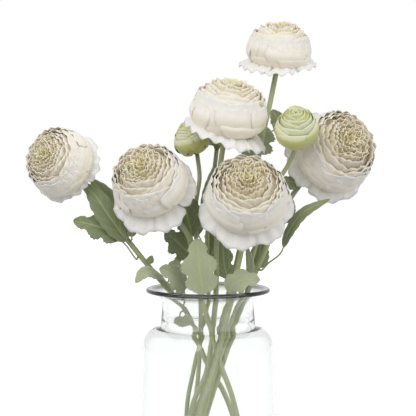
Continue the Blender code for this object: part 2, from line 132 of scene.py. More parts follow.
# Stage
LAMPS = (("key", (-0.9, -1.3, 1.5), 12, 1.2), ("fill", (1.2, -1.0, 0.8), 6, 1.4))  # place, watts, width
WORLD_LEVEL = 0.72
FLOOR_HALF = 6  # metres
FLOOR_GREY = 0.45
FLOOR_GLOW = 0.85  # added for what the camera sees, which brings the floor to white
CAMERA_PLACE = (0, -1.1489, 0.3752)
CAMERA_DOWN = 2.5  # degrees
CAMERA_LENS = 106  # mm
CAMERA_SENSOR = 36  # mm

# Each flower: centre of its petal ball and the way it faces, its radius, how far its guard petals reach,
# their mean rise, and how much and towards which side they droop. Lengths in millimetres.
BLOOMS = {
    "left": dict(centre=(-140, -20, 370), axis=(-0.52, -0.78, 0.35), radius=31,
                reach=1.14, rise=0.08, lean=(0.10, 20)),
    "mid_left": dict(centre=(-55, -45, 354), axis=(-0.25, -0.75, 0.60), radius=34,
                reach=1.25, rise=-0.02, lean=(0.16, 290)),
    "top_centre": dict(centre=(20, -25, 420), axis=(0.15, -0.30, 0.94), radius=34.5,
                reach=1.20, rise=-0.12, lean=(0.20, 335)),
    "top_right": dict(centre=(68, 20, 480), axis=(0.10, -0.25, 0.96), radius=30,
                reach=1.26, rise=0.0, lean=(0.16, 180)),
    "front": dict(centre=(35, -55, 342), axis=(0.0, -0.80, 0.60), radius=36,
                reach=1.24, rise=-0.02, lean=(0.14, 270)),
    "right": dict(centre=(123, 5, 381), axis=(0.42, -0.82, 0.38), radius=38,
                reach=1.20, rise=0.0, lean=(0.16, 240)),
}
BUDS = {
    "bud_left": dict(centre=(-17, 14, 392), axis=(-0.35, -0.35, 0.87), radius=17),
    "bud_right": dict(centre=(80, -40, 402), axis=(-0.10, -0.65, 0.75), radius=20),
    "bud_back": dict(centre=(10, 32, 396), axis=(0.10, 0.10, 0.99), radius=14),
}

# Each stem's route from its cut end on the vase's floor up to its flower, in millimetres. Its height above
# the floor and its last stretch, in line with the flower, are worked out.
STEM_ROUTES = {
    "left": [(46, 6, 0), (24, 6, 127), (2, 6, 171), (-27, 6, 238), (-43, 3, 254), (-55, 0, 269),
             (-75, -5, 295), (-99, -3, 322), (-113, 6, 338)],
    "mid_left": [(44, -17, 0), (27, -17, 132), (13, -17, 175), (-5, -17, 240), (-17, -16, 296),
                 (-33, -15, 320)],
    "top_centre": [(-36, -11, 0), (-17, -11, 130), (-1, -11, 174), (7, -11, 240), (8, -8, 296),
                   (10, -6, 350)],
    "top_right": [(-42, 17, 0), (-12, 17, 124), (3, 17, 169), (19, 17, 236), (30, 18, 284),
                  (44, 20, 351), (53, 20, 398), (58, 21, 420)],
    "front": [(-38, -22, 0), (-9, -22, 133), (5, -22, 176), (21, -22, 241), (27, -23, 271),
              (33, -24, 296)],
    "right": [(-36, 0, 0), (-2, 0, 128), (12, 0, 172), (34, 0, 238), (50, 2, 276), (63, 8, 306),
              (77, 19, 331), (92, 29, 350)],
    "bud_left": [(-27, 11, 0), (-14, 11, 126), (-9, 11, 170), (-7, 11, 237), (-11, 11, 289),
                 (-11, 11, 337)],
    "bud_right": [(-46, -6, 0), (-5, -6, 129), (7, -6, 173), (29, -6, 239), (49, -8, 305),
                  (63, -8, 350)],
    "bud_back": [(-24, 22, 0), (-21, 22, 123), (-14, 22, 168), (0, 22, 236), (-1, 23, 293),
                 (5, 27, 351)],
}

# Each leaf: the stem that carries it, the height at which it leaves it, its outline, its widest half width,
# where its blade starts along its midrib, the way its upper side faces, and its midrib's route, in
# millimetres.
LEAVES = {
    "left_long": ("left", 295, "long", 12, 0.08, (0.2, -0.9, 0.4),
        [(-82, -15, 304), (-92, -19, 319), (-102, -18, 334), (-113, -9, 348)]),
    "left_dark": ("left", 300, "long", 11, 0.10, (0.3, -0.8, 0.5),
        [(-83, 5, 314), (-90, 11, 327), (-100, 14, 340), (-112, 18, 352)]),
    "left_lobed": ("left", 281, "lobed", 13, 0.38, (0.1, -0.9, 0.35),
        [(-77, -8, 291), (-89, -13, 302), (-104, -16, 309), (-124, -18, 314)]),
    "left_small": ("left", 294, "long", 5, 0.30, (0.3, -0.9, 0.2),
        [(-71, -12, 299), (-70, -14, 306), (-69, -15, 315)]),
    "left_tiny": ("left", 272, "long", 3.5, 0.35, (0.1, -0.9, 0.3),
        [(-55, -8, 274), (-52, -10, 281)]),
    "centre_dark": ("bud_left", 287, "lobed", 14, 0.25, (0.1, -0.9, 0.3),
        [(-15, 3, 297), (-18, -2, 312), (-22, -5, 329), (-28, -6, 346)]),
    "centre_low": ("bud_left", 277, "lobed", 14, 0.22, (0.2, -0.9, 0.3),
        [(-16, 4, 281), (-23, 0, 287), (-31, -2, 295), (-40, -3, 302)]),
    "centre_tall": ("bud_left", 306, "long", 6, 0.15, (-0.3, -0.9, 0.1),
        [(-5, 4, 314), (-2, 1, 328), (1, -1, 344), (7, -2, 366)]),
    "middle_back": ("bud_back", 272, "lobed", 15, 0.20, (0.0, -0.9, 0.3),
        [(4, 33, 279), (9, 37, 290), (14, 37, 308)]),
    "middle_dark": ("top_right", 250, "lobed", 10, 0.20, (0.1, -0.9, 0.2),
        [(18, 8, 260), (15, 3, 274), (14, 1, 298)]),
    "lip_left": ("left", 246, "long", 9, 0.30, (0.1, -0.6, 0.8),
        [(-40, -6, 257), (-49, -18, 266), (-58, -25, 267), (-66, -30, 258)]),
    "sage_front": ("mid_left", 222, "two_lobed", 18, 0.38, (0.0, -0.97, 0.2),
        [(-4, -27, 238), (-5, -33, 254), (-8, -37, 274), (-10, -38, 298)]),
    "sage_left": ("left", 234, "lobed", 14, 0.30, (0.3, -0.8, 0.5),
        [(-22, -7, 246), (-26, -18, 257), (-33, -26, 265), (-44, -31, 271)]),
    "sage_small": ("left", 252, "lobed", 7, 0.25, (0.1, -0.9, 0.3),
        [(-37, 9, 260), (-32, 11, 268), (-27, 12, 279)]),
    "lip_right": ("front", 239, "two_lobed", 14, 0.30, (0.0, -0.8, 0.6),
        [(17, -31, 248), (22, -39, 257), (32, -44, 262), (46, -46, 262)]),
    "silver": ("bud_right", 251, "long", 5, 0.20, (-0.5, -0.8, 0.2),
        [(38, -15, 262), (39, -20, 274), (36, -21, 291)]),
    "right_low": ("right", 266, "long", 9, 0.15, (0.0, -0.9, 0.3),
        [(49, 11, 275), (50, 15, 286), (54, 17, 299)]),
    "back_pale": ("top_right", 406, "lobed", 19, 0.12, (0.0, -0.9, 0.4),
        [(52, 29, 401), (47, 33, 389), (38, 34, 370)]),
    "back_dark": ("top_right", 398, "long", 9, 0.20, (0.0, -0.9, 0.3),
        [(65, 24, 400), (69, 33, 406), (62, 41, 418)]),
    "right_small": ("right", 345, "lobed", 8, 0.20, (0.1, -0.9, 0.3),
        [(83, 15, 348), (77, 10, 350), (70, 8, 352)]),
    "right_dark": ("right", 308, "long", 7, 0.20, (0.1, -0.9, 0.2),
        [(70, 3, 313), (75, -1, 320), (79, -3, 333)]),
    "right_long": ("right", 268, "long", 6, 0.36, (-0.5, -0.8, 0.3),
        [(57, -6, 274), (68, -11, 284), (75, -14, 303), (88, -15, 321), (113, -16, 334)]),
    "in_neck": ("left", 228, "long", 8, 0.45, (0.0, -0.95, 0.3),
        [(-26, -4, 226), (-25, -13, 221), (-14, -20, 219)]),
    "back_left": ("bud_back", 290, "lobed", 15, 0.25, (0.0, 0.9, 0.4),
        [(-10, 32, 299), (-18, 38, 313), (-28, 40, 330)]),
    "back_right": ("top_right", 284, "lobed", 15, 0.25, (0.1, 0.9, 0.4),
        [(38, 30, 293), (48, 37, 305), (60, 40, 320)]),
}


def linear(channel):
    return channel / 12.92 if channel <= 0.04045 else ((channel + 0.055) / 1.055) ** 2.4


def smooth_point(points, place):
    """The point at place, from 0 to 1, on a smooth curve through the points, each as long a step apart."""
    spans = len(points) - 1
    span = min(int(place * spans), spans - 1)
    t = place * spans - span
    b, c = points[span], points[span + 1]
    a = points[span - 1] if span > 0 else b * 2 - c
    d = points[span + 2] if span + 2 <= spans else c * 2 - b
    curve = (c - a) * t + (a * 2 - b * 5 + c * 4 - d) * t ** 2 + (b * 3 - a - c * 3 + d) * t ** 3
    return b + curve / 2


def even_route(points, count):
    """count points spread evenly by length along the smooth curve through the points."""
    fine = [smooth_point(points, i / ROUTE_STEPS) for i in range(ROUTE_STEPS + 1)]
    lengths = [0.0]
    for a, b in zip(fine, fine[1:]):
        lengths.append(lengths[-1] + (b - a).length)
    route, at = [], 0
    for i in range(count):
        wanted = lengths[-1] * i / (count - 1)
        while at < ROUTE_STEPS - 1 and lengths[at + 1] < wanted:
            at += 1
        share = (wanted - lengths[at]) / (lengths[at + 1] - lengths[at])
        route.append(fine[at].lerp(fine[at + 1], min(max(share, 0), 1)))
    return route


def direction(route, i):
    """The way the route runs at its point i."""
    return (route[min(i + 1, len(route) - 1)] - route[max(i - 1, 0)]).normalized()


def millimetres(points):
    return [Vector(point) * MM for point in points]


# ---------------------------------------------------------------- vase


def ellipse(centre, radii, start, end, steps):
    """Points round part of an ellipse, with its angles in degrees."""
    angles = [math.radians(start + (end - start) * i / steps) for i in range(steps + 1)]
    return [(centre[0] + radii[0] * math.cos(a), centre[1] + radii[1] * math.sin(a)) for a in angles]


def body_side(height):
    """The outer radius of the vase's body, which narrows a little towards its shoulder."""
    share = (height - FOOT_CORNER) / (SHOULDER_START - FOOT_CORNER)
    return BODY_RADIUS - BODY_TAPER * share ** 2


def vase_profile():
    """The wall's section: up the inside from the middle of the floor, over the lip and down the outside."""
    wall = GLASS_WALL
    flare_centre = (NECK_RADIUS + FLARE_WIDTH, FLARE_START)
    shoulder_centre = (body_side(SHOULDER_START) - SHOULDER_WIDTH, SHOULDER_START)
    corner_height = FLOOR_THICKNESS + FOOT_CORNER
    corner_centre = (body_side(corner_height) - wall - FOOT_CORNER, corner_height)
    side_heights = [SHOULDER_START * share for share in (0.25, 0.5, 0.75)]
    inside = [(0.0, FLOOR_THICKNESS)]
    inside += ellipse(corner_centre, (FOOT_CORNER, FOOT_CORNER), -90, 0, 3)
    inside += [(body_side(height) - wall, height) for height in side_heights]
    inside += ellipse(shoulder_centre, (SHOULDER_WIDTH - wall, SHOULDER_HEIGHT - wall), 0, 82, 4)
    inside += [(NECK_RADIUS - wall, shoulder_centre[1] + SHOULDER_HEIGHT - wall / 2)]
    inside += ellipse(flare_centre, (FLARE_WIDTH + wall, FLARE_HEIGHT + wall), 180, 104, 4)
    lip = ellipse((LIP_CENTRE, VASE_HEIGHT - LIP_RADIUS), (LIP_RADIUS, LIP_RADIUS), 90, -90, 4)
    outside = ellipse(flare_centre, (FLARE_WIDTH, FLARE_HEIGHT), 112, 180, 3)
    outside += ellipse(shoulder_centre, (SHOULDER_WIDTH, SHOULDER_HEIGHT), 90, 0, 5)
    outside += [(body_side(height), height) for height in reversed(side_heights)]
    foot_centre = (BODY_RADIUS - FOOT_CORNER, FOOT_CORNER)
    outside += ellipse(foot_centre, (FOOT_CORNER, FOOT_CORNER), 0, -90, 3)
    return inside + lip + outside + [(0.0, 0.0)]


class Place:
    """A flower's own frame: its origin is the middle of its ball's underside, its axis the way it faces."""

    def __init__(self, flower, profile):
        self.axis = Vector(flower["axis"]).normalized()
        self.across = Vector((0, 0, 1)).cross(self.axis).normalized()
        self.up = self.axis.cross(self.across)
        self.radius = flower["radius"] * MM
        self.seat = profile[0][0] * self.radius  # radius of the flat middle of the underside
        middle = profile[-1][1] / 2
        self.origin = Vector(flower["centre"]) * MM - self.axis * (middle * self.radius)

    def point(self, radius, angle, height):
        flat = self.across * math.cos(angle) + self.up * math.sin(angle)
        return self.origin + flat * radius + self.axis * height


def stem_points(name, end, axis):
    """The stem's whole route: up from the vase's floor, and straight for its last stretch to the calyx."""
    points = millimetres(STEM_ROUTES[name])
    points[0].z = FLOOR_THICKNESS + GAP
    return points + [end - axis * STEM_NECK, end]


def nearest_on(route, height):
    """The route's point at a height, and the way it runs there."""
    for a, b in zip(route, route[1:]):
        if a.z <= height <= b.z:
            return a.lerp(b, (height - a.z) / (b.z - a.z)), (b - a).normalized()
    raise ValueError("no point at that height")


def leaf_route(stem_route, stem_radius, height, points):
    """The leaf's midrib from its seat on the stem, which it leaves squarely, through its own points."""
    centre, way = nearest_on(stem_route, height)
    out = points[0] - centre
    out = (out - way * out.dot(way)).normalized()
    seat = centre + out * (stem_radius + GAP)
    return [seat, seat + out * PETIOLE_LEAD] + points


# ---------------------------------------------------------------- colours and materials


def hex_colour(code):
    """An sRGB hex value as linear numbers."""
    return tuple(linear(int(code[i:i + 2], 16) / 255) for i in (1, 3, 5))


def colour_property(name, description, code):
    return bpy.props.FloatVectorProperty(
        name=name, description=description, default=hex_colour(code), subtype="COLOR", min=0, max=1)


def length_property(name, description, millimetre):
    return bpy.props.FloatProperty(
        name=name, description=description, default=millimetre * MM, unit="LENGTH", min=0.0001)


class FlowerSettings(bpy.types.PropertyGroup):
    ivory: colour_property("Petal", "Margins of the open petals", "#F8F1E1")
    heart: colour_property("Heart", "Yellow-green tint of the youngest petals", "#F4ECBE")
    # Painted warm shade: this tan stands for light bounced between and shining through the petals deep in the
    # flower.
    depth: colour_property("Depth", "Warm tan deep between the petals", "#F4E5C4")
    guard: colour_property("Guard petal", "Cool white outer petals", "#F1F0EE")
    bud: colour_property("Bud", "Pale green petals of a bud", "#E9EBCF")
    # Painted shade: the darker olive stands for the green shadow inside a bud, between its petals.
    crevice_shade: colour_property("Bud crevice", "Olive between a bud's petals", "#C3C57C")
    sepal: colour_property("Sepal", "Olive calyx", "#7F8130")
    rust: colour_property("Sepal tip", "Dried brown tips", "#8A4F22")
    leaf: colour_property("Leaf", "Dark leaves", "#84906A")
    sage: colour_property("Sage leaf", "Pale flocked leaves", "#B0B796")
    vein: colour_property("Vein", "Veins of the leaves", "#C3C794")
    stem: colour_property("Stem", "Stems", "#B0B68A")
    glass: colour_property("Glass", "Body of the vase", "#F4F6F5")
    # Partly the thick glass's own green cast, partly painted shade: the dark grey stands for the dark studio
    # reflected and bent in the lip.
    lip: colour_property("Lip", "Grey-green edge of the vase's lip", "#4F5A4C")
    petal_thickness: length_property("Petal thickness", "Thickness of a petal", 0.35)
    leaf_thickness: length_property("Leaf thickness", "Thickness of a leaf", 0.6)


def add(tree, kind, settings=(), links=()):
    """Adds a node, sets its properties or sockets by name, and links its sockets from others."""
    node = tree.nodes.new(kind)
    for key, value in dict(settings).items():
        if isinstance(key, int) or key in node.inputs:
            node.inputs[key].default_value = value
        else:
            setattr(node, key, value)
    for key, source in dict(links).items():
        tree.links.new(source, node.inputs[key])
    return node


def surface(name, roughness, grain, relief, sheen=0.0):
    """A soft plant surface: the tint stored on the mesh, which carries painted shade deep in the blooms and
    buds, streaked along each petal or blade, with fine relief.
    """
    material = bpy.data.materials.new(name)
    material.use_nodes = True
    tree = material.node_tree
    shader = tree.nodes["Principled BSDF"]
    shader.inputs["Roughness"].default_value = roughness
    shader.inputs["Sheen Weight"].default_value = sheen
    shader.inputs["Specular IOR Level"].default_value = 0.3
    tint = add(tree, "ShaderNodeAttribute", {"attribute_name": "tint"})
    lie = add(tree, "ShaderNodeAttribute", {"attribute_name": "lie"})
    streak = add(tree, "ShaderNodeTexNoise", {"Scale": 1.0, "Detail": 3.0}, {"Vector": lie.outputs["Vector"]})
    level = add(tree, "ShaderNodeMapRange", {"To Min": 1 - grain, "To Max": 1 + grain * 0.6},
                {"Value": streak.outputs["Fac"]})
    colour = add(tree, "ShaderNodeVectorMath", {"operation": "SCALE"},
                 {0: tint.outputs["Color"], "Scale": level.outputs["Result"]})
    bump = add(tree, "ShaderNodeBump", {"Strength": relief, "Distance": 0.4 * MM},
               {"Height": streak.outputs["Fac"]})
    tree.links.new(colour.outputs["Vector"], shader.inputs["Base Color"])
    tree.links.new(bump.outputs["Normal"], shader.inputs["Normal"])
    return material


def blown_glass():
    """Blown soda-lime glass: clear walls with a grey-green cast gathered in the thick lip; the lip's dark
    grey and the greyer edges are painted shade.
    """
    material = bpy.data.materials.new("blown_soda_lime_glass")
    material.use_nodes = True
    tree = material.node_tree
    shader = tree.nodes["Principled BSDF"]
    shader.inputs["Transmission Weight"].default_value = 1
    shader.inputs["IOR"].default_value = 1.45
    tint = add(tree, "ShaderNodeAttribute", {"attribute_name": "tint"})
    # Painted shade: seen edge-on, the base colour greys, standing for the dark surroundings seen through the
    # wall's edges and partly for the thicker glass there.
    edge = add(tree, "ShaderNodeLayerWeight", {"Blend": 0.35})
    grey = add(tree, "ShaderNodeMapRange", {"From Min": 0.35, "To Min": 1.0, "To Max": 0.62},
               {"Value": edge.outputs["Facing"]})
    body = add(tree, "ShaderNodeVectorMath", {"operation": "SCALE"},
               {0: tint.outputs["Color"], "Scale": grey.outputs["Result"]})
    tree.links.new(body.outputs["Vector"], shader.inputs["Base Color"])
    # Slow waves about 25 mm long, as a blown wall has, change its gloss very slightly.
    place = add(tree, "ShaderNodeTexCoord")
    wave = add(tree, "ShaderNodeTexNoise", {"Scale": 40.0}, {"Vector": place.outputs["Object"]})
    gloss = add(tree, "ShaderNodeMapRange", {"To Min": 0.0, "To Max": 0.02}, {"Value": wave.outputs["Fac"]})
    tree.links.new(gloss.outputs["Result"], shader.inputs["Roughness"])
    return material


# ---------------------------------------------------------------- meshes


class Sheet:
    """Gathers thin curved grids, with a tint and a lie (streak coordinates) at each point."""

    def __init__(self):
        self.points, self.tints, self.lies, self.faces = [], [], [], []

    def add_grid(self, points, tints, lies, closed=False):
        rows, columns = points.shape[:2]
        start = len(self.points)
        self.points += points.reshape(-1, 3).tolist()
        self.tints += tints.reshape(-1, 3).tolist()
        self.lies += lies.reshape(-1, 3).tolist()
        for i in range(rows - 1):
            for j in range(columns - (0 if closed else 1)):
                k = (j + 1) % columns
                a, b = start + i * columns, start + (i + 1) * columns
                self.faces.append((a + j, a + k, b + k, b + j))

    def finish(self, name, material, slot, replaced, thickness):
        mesh = bpy.data.meshes.new(name)
        mesh.from_pydata(self.points, [], self.faces)
        tint = mesh.attributes.new("tint", "FLOAT_COLOR", "POINT")
        tint.data.foreach_set("color", [x for row in self.tints for x in (*row, 1.0)])
        lie = mesh.attributes.new("lie", "FLOAT_VECTOR", "POINT")
        lie.data.foreach_set("vector", [x for row in self.lies for x in row])
        if not thickness:
            face_out(mesh)
        mesh.shade_smooth()
        mesh.materials.append(material)
        piece = bpy.data.objects.new(name, mesh)
        bpy.context.scene.collection.objects.link(piece)
        if thickness:
            solid = piece.modifiers.new("thickness", "SOLIDIFY")
            solid.thickness = thickness
            solid.offset = 0
        settle(piece, replaced)
        return piece


def face_out(mesh):
    """Closes a turned or tubular mesh at its poles and turns its faces outward."""
    bm = bmesh.new()
    bm.from_mesh(mesh)
    bmesh.ops.remove_doubles(bm, verts=bm.verts, dist=0.00001)
    bmesh.ops.recalc_face_normals(bm, faces=bm.faces)
    if bm.calc_volume(signed=True) < 0:
        bmesh.ops.reverse_faces(bm, faces=bm.faces)
    bm.to_mesh(mesh)
    bm.free()


def settle(piece, replaced):
    """The piece rides on the one body and stands for the nodes it replaces."""
    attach(piece, "root")
    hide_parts(*replaced)


def mixed(a, b, share):
    """Colours between a and b, for an array of shares."""
    share = np.clip(share, 0, 1)[..., None]
    return np.array(a)[None, None] * (1 - share) + np.array(b)[None, None] * share


def placed(place, radius, angle, height):
    """Points in a flower's frame, for arrays."""
    across, up, axis = (np.array(v)[None, None] for v in (place.across, place.up, place.axis))
    return (np.array(place.origin)[None, None] + (across * np.cos(angle)[..., None]
            + up * np.sin(angle)[..., None]) * radius[..., None] + axis * height[..., None])


def crown(share):
    """Height of the ball's surface above its seat, in radii, at a share of its radius from the axis."""
    return 1.38 - 0.39 * share ** 2.2


def grid(rows, columns):
    """Places along, from 0 to 1, and across, from -1 to 1, of a petal or blade."""
    return np.meshgrid(np.linspace(0, 1, rows), np.linspace(-1, 1, columns), indexing="ij")


def wrap_petal(sheet, rng, place, rim, angle, width, crimp, colours, top=crown, low=0.0, depth=0.3, lip=0.05):
    """A cupped petal: it climbs the ball and ends in a rounded, crimped rim at a share rim of the radius."""
    u, v = grid(15, 17)
    radius = place.radius
    round_tip = 1 - (0.10 + 0.10 * rng.random()) * np.abs(v) ** 2.6 - 0.05 * rng.random() * np.abs(v)
    phase, turn, number = rng.random() * 6.28, rng.uniform(-0.12, 0.12), rng.randint(3, 5)
    climb = u * round_tip
    bulge = 0.55 + 0.48 * np.sin(np.pi * (0.12 + 0.70 * climb)) ** 0.8
    reach = rim * (bulge + 0.02 * rng.random())
    waves = crimp * np.sin(number * np.pi * v + phase) * climb ** 3
    curl = lip * np.clip(climb - 0.82, 0, 1) / 0.18
    reach = reach + waves + curl - 0.05 * v * turn * 4
    height = low + (top(rim) * rng.uniform(0.95, 1.03) - low) * climb ** 0.85 + waves * 0.5
    spread = width * (0.45 + 0.55 * np.sin(np.pi * np.clip(u, 0, 1) * 0.62) ** 0.6)
    points = placed(place, radius * reach, angle + turn + v * spread, radius * height)
    # Painted warm shade: low on the petal, deep in the flower, the tint is the deep colour. Over the top
    # share depth it comes to the body colour, and to the edge colour at the rim.
    deep, body, edge = colours
    shade = np.clip((climb - (1 - depth)) / depth, 0, 1) ** 0.5
    tint = mixed(deep, body, shade ** 0.7)
    tint = tint * (1 - shade[..., None] ** 6) + np.array(edge) * shade[..., None] ** 6
    seed = np.full_like(u, rng.random() * 90)
    sheet.add_grid(points, tint, np.stack([v * width * WRAP_STREAKS, u * 2.0, seed], -1))


def guard_petal(sheet, rng, place, flower, angle, width, colours):
    """A loose outer petal, nearly flat, with a waved margin that turns down."""
    u, v = grid(16, 19)
    reach = flower["reach"] * place.radius * rng.uniform(0.93, 1.0)
    inner = place.seat * 0.6
    round_tip = 1 - 0.20 * np.abs(v) ** 2.4
    out = inner + (reach - inner) * u * round_tip
    amount, towards = flower["lean"]
    theta = angle + v * width * (0.40 + 0.60 * np.sin(np.pi * u * 0.60) ** 0.6)
    slope = flower["rise"] + 0.10 - amount * np.cos(theta - math.radians(towards))
    phase = rng.random() * 6.28
    wave = 0.06 * place.radius * np.sin(3.5 * np.pi * v + phase) * u ** 2
    cup = 0.14 * place.radius * np.sin(np.pi * u) * u - 0.10 * place.radius * u ** 4
    lift = rng.uniform(-0.02, 0.05) * place.radius
    points = placed(place, out, theta, -GAP + slope * (out - inner) + wave + cup + lift * u)
    base, edge = colours
    tint = mixed(base, edge, u ** 0.6)
    seed = np.full_like(u, rng.random() * 90)
    sheet.add_grid(points, tint, np.stack([v * GUARD_STREAKS, u * 2, seed], -1))


def sepal(sheet, rng, place, reach, angle, rise, colours):
    """A pointed, folded sepal with a dried tip."""
    u, v = grid(12, 7)
    width = 0.34 * np.sin(np.pi * (0.12 + 0.88 * u)) ** 0.7 * reach
    out = 2.0 * MM + reach * u * rng.uniform(0.85, 1.0)
    theta = angle + v * width / np.maximum(out, 1.5 * MM) * 0.8
    drop = rise * out - 1.4 * MM * (1 - u) - 0.10 * reach * u ** 3 + np.abs(v) * 0.8 * MM
    points = placed(place, out, theta, drop - 1.6 * MM)
    tint = mixed(colours[0], colours[1], (u - 0.62) * 3)
    sheet.add_grid(points, tint, np.stack([v * 4, u * 3, u * 0 + rng.random() * 90], -1))


def dome(sheet, place, top, below, colour):
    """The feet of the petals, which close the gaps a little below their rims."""
    u, v = grid(14, 41)
    share = 0.03 + 0.87 * u
    height = top(share) - below - 0.25 * u ** 4
    points = placed(place, place.radius * share, v * math.pi, place.radius * height)
    sheet.add_grid(points, points * 0 + np.array(colour), np.stack([v * 20, u * 4, u * 0], -1))


def whorl(sheet, rng, place, rim, count, crimp, colours, overlap=1.5, **shape):
    """A ring of overlapping petals, each a little out of step."""
    start = rng.random() * 6.28
    for i in range(count):
        share = rim * rng.uniform(0.95, 1.04)
        turn = start + 2 * math.pi * (i + rng.uniform(-0.18, 0.18)) / count
        wrap_petal(sheet, rng, place, share, turn, overlap * math.pi / count, crimp, colours, **shape)


def tube(sheet, route, radii, tint, sides=14):
    """A closed round tube along a route."""
    rings = []
    for i, centre in enumerate(route):
        way = direction(route, i)
        side = way.cross(Vector((0.13, 0.97, 0.2))).normalized()
        other = way.cross(side)
        ring = [centre + (side * math.cos(a) + other * math.sin(a)) * radii[i]
                for a in (2 * math.pi * k / sides for k in range(sides))]
        rings.append([tuple(point) for point in ring])
    rings = [[tuple(route[0])] * sides] + rings + [[tuple(route[-1])] * sides]
    points = np.array(rings)
    around = np.linspace(0, 6.28, sides)[None] + np.zeros((len(rings), 1))
    along = np.arange(len(rings))[:, None] * 0.25 + np.zeros((1, sides))
    lies = np.stack([np.cos(around) * 3, np.sin(around) * 3, along], -1)
    sheet.add_grid(points, np.zeros_like(points) + tint, lies, closed=True)


# ---------------------------------------------------------------- pieces


def settings():
    """The sizes and colours in use."""
    return bpy.context.scene.flower_settings


def bloom_petals(name, flower, palette):
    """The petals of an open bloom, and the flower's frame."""
    rng = random.Random("bloom " + name)
    place = Place(flower, BLOOM_PROFILE)
    sheet = Sheet()
    ivory, heart, depth, guard = palette
    # The first colour of each palette is the painted warm shade deep in the flower. The low outer whorls take
    # a paler mix of it.
    wraps = (depth, ivory, ivory)
    warm = (depth, tuple(0.5 * a + 0.5 * b for a, b in zip(ivory, heart)), ivory)
    young = (depth, heart, tuple(0.6 * a + 0.4 * b for a, b in zip(ivory, heart)))
    outer_painted_shade = tuple(0.85 * a + 0.15 * b for a, b in zip(ivory, depth))
    outer = (outer_painted_shade, ivory, guard)
    # The lower whorls end part way up the ball's side, so that their rims show in steps.
    for rim, height in LOW_WHORLS:
        whorl(sheet, rng, place, rim, LOW_PETALS, 0.03, outer, overlap=1.35, lip=0.07, depth=0.9,
              top=lambda share, height=height: height)
    dome(sheet, place, crown, BLOOM_FEET, ivory)
    for rim, count in WRAP_WHORLS:
        whorl(sheet, rng, place, rim, count, 0.032, wraps, low=0.10, depth=0.5)
    for rim, count, crimp in HEART_WHORLS:
        whorl(sheet, rng, place, rim, count, crimp, warm, low=0.3, overlap=1.25)
    for rim, count, crimp in YOUNG_WHORLS:
        whorl(sheet, rng, place, rim, count, crimp, young, low=0.5, overlap=1.2)
    return place, sheet


def bud_crown(share):
    """As crown, for a bud, which is taller."""
    return 1.72 - 0.75 * share ** 2.4


def bud_petals(name, flower, palette):
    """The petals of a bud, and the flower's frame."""
    rng = random.Random("bud " + name)
    place = Place(flower, BUD_PROFILE)
    sheet = Sheet()
    bud, crevice_shade = palette
    # The dome that fills the gaps under the rims, and the petals' low parts, take the painted crevice shade.
    dome(sheet, place, bud_crown, BUD_FEET, crevice_shade)
    for rim, count in BUD_WHORLS:
        whorl(sheet, rng, place, rim, count, 0.008, (crevice_shade, bud, bud), overlap=1.55, top=bud_crown)
    return place, sheet


def blade_width(kind, u):
    """Half width of a blade along its length, with its lobes and its teeth."""
    body = np.sin(np.pi * np.clip(u, 0, 1) ** 0.75) ** 0.65
    if kind == "long":
        return body * (0.90 + 0.10 * np.abs(np.sin(7 * np.pi * u)))
    lobes = np.abs(np.cos(2.6 * np.pi * (u - 0.16))) ** 0.7
    return np.clip(body * (0.50 + 0.42 * lobes) + 0.10 * body * np.abs(np.sin(13 * np.pi * u)), 0, 1)


def leaf_piece(name, stems, finish, palette, thickness):
    """A leaf's folded, rippled blade and its petiole, along the same midrib as its stand-in."""
    stem, height, kind, half_width, blade_from, face, points = LEAVES[name]
    half_width = half_width * MM
    face = Vector(face).normalized()
    rng = random.Random("leaf " + name)
    stem_route, radius = stems[stem]
    fine = even_route(leaf_route(stem_route, radius, height * MM, millimetres(points)), LEAF_POINTS)
    rows, columns = LEAF_ROWS, LEAF_COLUMNS
    last = LEAF_POINTS - 1
    first = int(blade_from * last)
    blade, vein = palette
    u, v = grid(rows, columns)
    surface_points = np.zeros((rows, columns, 3))
    width = blade_width(kind, u[:, 0])
    phase = rng.random() * 6.28
    for i in range(rows):
        place = first + (last - first) * u[i, 0]
        at = min(int(place), last - 1)
        centre = fine[at].lerp(fine[at + 1], place - at)
        way = direction(fine, at)
        side = way.cross(face).normalized()
        normal = side.cross(way)
        for j in range(columns):
            across = v[i, j] * max(width[i] * half_width, 0.9 * MM * (1 - u[i, 0]))
            fold = abs(across) * 0.30 - 0.45 * across * across / half_width
            ripple = 0.05 * half_width * math.sin(9 * u[i, 0] + 2 * v[i, j] + phase) * abs(v[i, j])
            forward = abs(v[i, j]) * 0.06 * half_width
            surface_points[i, j] = centre + side * across + way * forward + normal * (fold + ripple)
    # Side veins run forward from the midrib; each is as wide as it needs to be to show.
    slant = np.abs(np.sin(np.pi * (u * 6.5 - np.abs(v) * 1.6)))
    mark = np.maximum(np.exp(-(v / 0.07) ** 2), 0.55 * np.exp(-(slant / 0.16) ** 2) * (1 - np.abs(v)) ** 0.3)
    lifted = mixed(blade, vein, mark * 0.8)
    shade = 0.88 + 0.2 * rng.random() + 0.10 * np.abs(v)
    sheet = Sheet()
    sheet.add_grid(surface_points, lifted * shade[..., None], np.stack([v * LEAF_STREAKS, u * 9, u * 0], -1))
    sheet.finish("blade_" + name, finish, leaf_slot(name), ["leaf_" + name], thickness)
    petiole = Sheet()
    span = fine[:first + 3]
    radii = [PETIOLE_RADIUS * (1 - 0.25 * i / len(span)) for i in range(len(span))]
    tube(petiole, span, radii, np.array(vein) * 0.8, PETIOLE_SIDES)
    petiole.finish("petiole_" + name, finish, leaf_slot(name), [], 0)


def is_pale(name):
    return name.startswith(("sage", "lip", "silver", "in_neck", "back_pale"))


def leaf_slot(name):
    return "leaf_sage" if is_pale(name) else "leaf_green"


